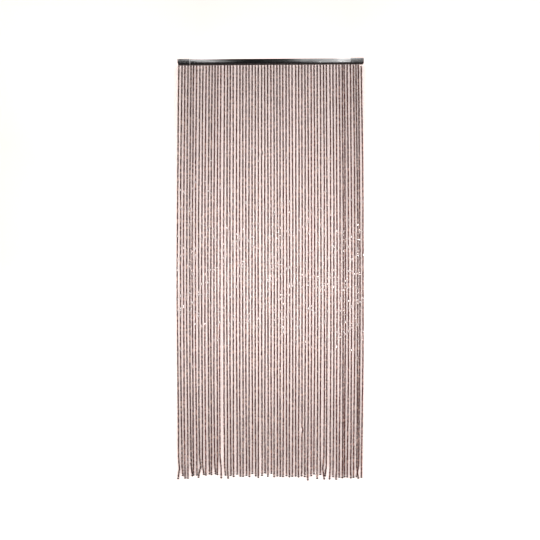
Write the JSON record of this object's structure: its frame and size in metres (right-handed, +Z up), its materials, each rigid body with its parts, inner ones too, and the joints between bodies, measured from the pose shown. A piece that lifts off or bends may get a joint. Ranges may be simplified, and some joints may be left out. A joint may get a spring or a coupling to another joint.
{
  "type": "beaded string curtain with head rail",
  "caption": "Doorway curtain of long dark brown bead strings that hang side by side from a slim glossy black head rail with end covers.",
  "frame": {"origin": "middle of the head rail's flat back, on the wall it is fixed to", "axes": "+Z up; +Y out of the rail's back into the wall, so the front faces -Y; X along the rail, to the right seen from the front"},
  "size_m": [0.907, 0.0217, 2.0448],
  "materials": {
    "rail": "polished black extrusion",
    "covers": "satin black moulding",
    "beads": "dark red-brown gloss lacquer"
  },
  "bodies": {
    "root": {"head_rail": "rail", "end_cover_left": "covers", "end_cover_right": "covers", "bead_strings": "beads"}
  },
  "joints": []
}
